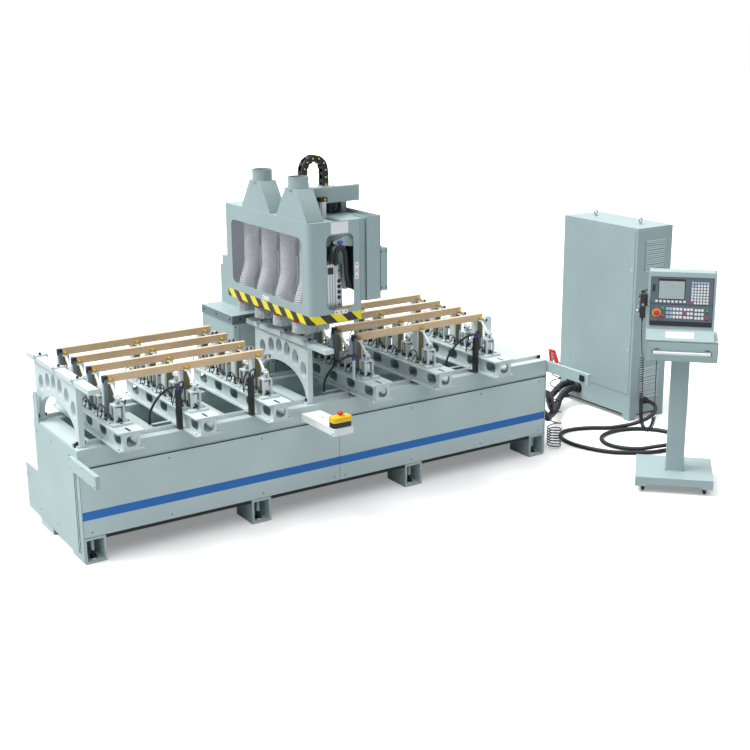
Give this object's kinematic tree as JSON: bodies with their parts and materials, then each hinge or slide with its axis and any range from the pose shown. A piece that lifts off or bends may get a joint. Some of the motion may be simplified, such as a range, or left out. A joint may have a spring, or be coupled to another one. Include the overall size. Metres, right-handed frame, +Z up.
{
  "type": "cnc wood machining centre",
  "caption": "CNC wood machining centre with a long clamping bed, a travelling hooded spindle head, a control cabinet and a wheeled operator console.",
  "frame": {"origin": "middle of the footprint on the floor, free cords left out", "axes": "+X along the bed towards the control cabinet, +Y from the operator's side to the back, +Z up"},
  "size_m": [4.876, 2.605, 2.2385],
  "materials": {
    "sheet_grey": "satin powder coat",
    "frame_grey": "satin paint",
    "beam_light": "satin paint",
    "lever_white": "satin paint",
    "machined_aluminium": "machined",
    "tool_steel": "ground",
    "dark_casing": "textured",
    "black_rubber": "matt",
    "stop_yellow": "smooth",
    "stop_red": "smooth",
    "blank_wood": "planed",
    "hose_film": "translucent",
    "brush_skirt": "bristles on a plate",
    "clear_sheet": "clear",
    "panel_face": "printed"
  },
  "bodies": {
    "base": {"bed_frame": "frame_grey", "left_end_cover": "sheet_grey", "right_end_cover": "sheet_grey", "front_panel_left": "sheet_grey", "front_panel_right": "sheet_grey", "rear_base": "frame_grey", "left_stop_arch": "sheet_grey", "middle_stop_arch": "sheet_grey", "stop_bracket": "stop_yellow", "air_gun": "stop_red", "workpiece_1": "blank_wood", "workpiece_2": "blank_wood", "workpiece_3": "blank_wood", "workpiece_4": "blank_wood", "workpiece_5": "blank_wood", "workpiece_6": "blank_wood", "workpiece_7": "blank_wood", "workpiece_8": "blank_wood", "cabinet_body": "sheet_grey", "power_hose_upper": "black_rubber", "power_hose_lower": "black_rubber", "air_spring_hose": "black_rubber", "floor_cable": "black_rubber", "console_stand": "sheet_grey", "console_housing": "sheet_grey", "control_panel": "panel_face", "pendant": "dark_casing", "pendant_cord": "black_rubber"},
    "cabinet_door": {"cabinet_door": "sheet_grey"},
    "console_drawer": {"console_drawer": "sheet_grey"},
    "console_stop": {"console_stop_button": "stop_red"},
    "bed_stop": {"bed_stop_button": "stop_red"},
    "column": {"column": "sheet_grey"},
    "head": {"head_frame": "frame_grey", "hood": "sheet_grey", "hood_window": "clear_sheet", "brush_skirts": "brush_skirt", "extraction_hose_1": "hose_film", "extraction_hose_2": "hose_film", "extraction_hose_3": "hose_film", "extraction_hose_4": "hose_film", "lift_drive": "sheet_grey", "cable_carrier": "dark_casing"},
    "spindles": {"spindle_carriage": "machined_aluminium"},
    "chuck_1": {"tool_chuck_1": "tool_steel"},
    "chuck_2": {"tool_chuck_2": "tool_steel"},
    "chuck_3": {"tool_chuck_3": "tool_steel"},
    "chuck_4": {"tool_chuck_4": "tool_steel"},
    "beam_1": {"support_beam_1": "beam_light"},
    "lever_1": {"clamp_lever_1": "lever_white"},
    "beam_2": {"support_beam_2": "beam_light"},
    "lever_2": {"clamp_lever_2": "lever_white"},
    "beam_3": {"support_beam_3": "beam_light"},
    "lever_3": {"clamp_lever_3": "lever_white"},
    "beam_4": {"support_beam_4": "beam_light"},
    "lever_4": {"clamp_lever_4": "lever_white"},
    "beam_5": {"support_beam_5": "beam_light"},
    "lever_5": {"clamp_lever_5": "lever_white"},
    "beam_6": {"support_beam_6": "beam_light"},
    "lever_6": {"clamp_lever_6": "lever_white"}
  },
  "joints": [
    {"name": "column_travel", "type": "slide", "parent": "base", "child": "column", "axis": [1, 0, 0], "range_m": [-1.24, 1.3]},
    {"name": "head_travel", "type": "slide", "parent": "column", "child": "head", "axis": [0, 1, 0], "range_m": [-0.2, 0.03]},
    {"name": "spindle_lift", "type": "slide", "parent": "head", "child": "spindles", "axis": [0, 0, 1], "range_m": [-0.085, 0.03]},
    {"name": "chuck_spin_1", "type": "hinge", "parent": "spindles", "child": "chuck_1", "pos_m": [-0.774, 0.02648, 1.25], "axis": [0, 0, 1], "continuous": true},
    {"name": "chuck_spin_2", "type": "hinge", "parent": "spindles", "child": "chuck_2", "pos_m": [-0.774, 0.26848, 1.25], "axis": [0, 0, 1], "continuous": true},
    {"name": "chuck_spin_3", "type": "hinge", "parent": "spindles", "child": "chuck_3", "pos_m": [-0.774, 0.51048, 1.25], "axis": [0, 0, 1], "continuous": true},
    {"name": "chuck_spin_4", "type": "hinge", "parent": "spindles", "child": "chuck_4", "pos_m": [-0.774, 0.75248, 1.25], "axis": [0, 0, 1], "continuous": true},
    {"name": "beam_shift_1", "type": "slide", "parent": "base", "child": "beam_1", "axis": [1, 0, 0], "range_m": [-0.06, 0]},
    {"name": "beam_shift_2", "type": "slide", "parent": "base", "child": "beam_2", "axis": [1, 0, 0], "range_m": [-0.06, 0.06]},
    {"name": "beam_shift_3", "type": "slide", "parent": "base", "child": "beam_3", "axis": [1, 0, 0], "range_m": [0, 0.06]},
    {"name": "beam_shift_4", "type": "slide", "parent": "base", "child": "beam_4", "axis": [1, 0, 0], "range_m": [-0.06, 0]},
    {"name": "beam_shift_5", "type": "slide", "parent": "base", "child": "beam_5", "axis": [1, 0, 0], "range_m": [-0.06, 0.06]},
    {"name": "beam_shift_6", "type": "slide", "parent": "base", "child": "beam_6", "axis": [1, 0, 0], "range_m": [0, 0.06]},
    {"name": "lever_swing_1", "type": "hinge", "parent": "beam_1", "child": "lever_1", "pos_m": [-2.176, -0.08352, 0.98], "axis": [1, 0, 0], "range_deg": [0, 60]},
    {"name": "lever_swing_2", "type": "hinge", "parent": "beam_2", "child": "lever_2", "pos_m": [-1.701, -0.08352, 0.98], "axis": [1, 0, 0], "range_deg": [0, 60]},
    {"name": "lever_swing_3", "type": "hinge", "parent": "beam_3", "child": "lever_3", "pos_m": [-1.226, -0.08352, 0.98], "axis": [1, 0, 0], "range_deg": [0, 60]},
    {"name": "lever_swing_4", "type": "hinge", "parent": "beam_4", "child": "lever_4", "pos_m": [-0.496, -0.08352, 0.98], "axis": [1, 0, 0], "range_deg": [0, 60]},
    {"name": "lever_swing_5", "type": "hinge", "parent": "beam_5", "child": "lever_5", "pos_m": [-0.01, -0.08352, 0.98], "axis": [1, 0, 0], "range_deg": [0, 60]},
    {"name": "lever_swing_6", "type": "hinge", "parent": "beam_6", "child": "lever_6", "pos_m": [0.476, -0.08352, 0.98], "axis": [1, 0, 0], "range_deg": [0, 60]},
    {"name": "door_hinge", "type": "hinge", "parent": "base", "child": "cabinet_door", "pos_m": [2.0767, 0.97618, 0.844], "axis": [0, 0, -1], "range_deg": [0, 110]},
    {"name": "drawer_slide", "type": "slide", "parent": "base", "child": "console_drawer", "axis": [-0.7071, -0.7071, 0], "range_m": [0, 0.18]},
    {"name": "console_stop_press", "type": "slide", "parent": "base", "child": "console_stop", "axis": [0.7005, 0.7005, -0.1361], "range_m": [0, 0.005], "stiffness_N_per_m": 400, "springref_m": -0.002},
    {"name": "bed_stop_press", "type": "slide", "parent": "base", "child": "bed_stop", "axis": [0, 0, -1], "range_m": [0, 0.005], "stiffness_N_per_m": 400, "springref_m": -0.002}
  ],
  "couplings": [
    {"joint": "chuck_spin_2", "follows": "chuck_spin_1", "ratio": 1},
    {"joint": "chuck_spin_3", "follows": "chuck_spin_1", "ratio": 1},
    {"joint": "chuck_spin_4", "follows": "chuck_spin_1", "ratio": 1},
    {"joint": "lever_swing_2", "follows": "lever_swing_1", "ratio": 1},
    {"joint": "lever_swing_3", "follows": "lever_swing_1", "ratio": 1},
    {"joint": "lever_swing_5", "follows": "lever_swing_4", "ratio": 1},
    {"joint": "lever_swing_6", "follows": "lever_swing_4", "ratio": 1}
  ]
}
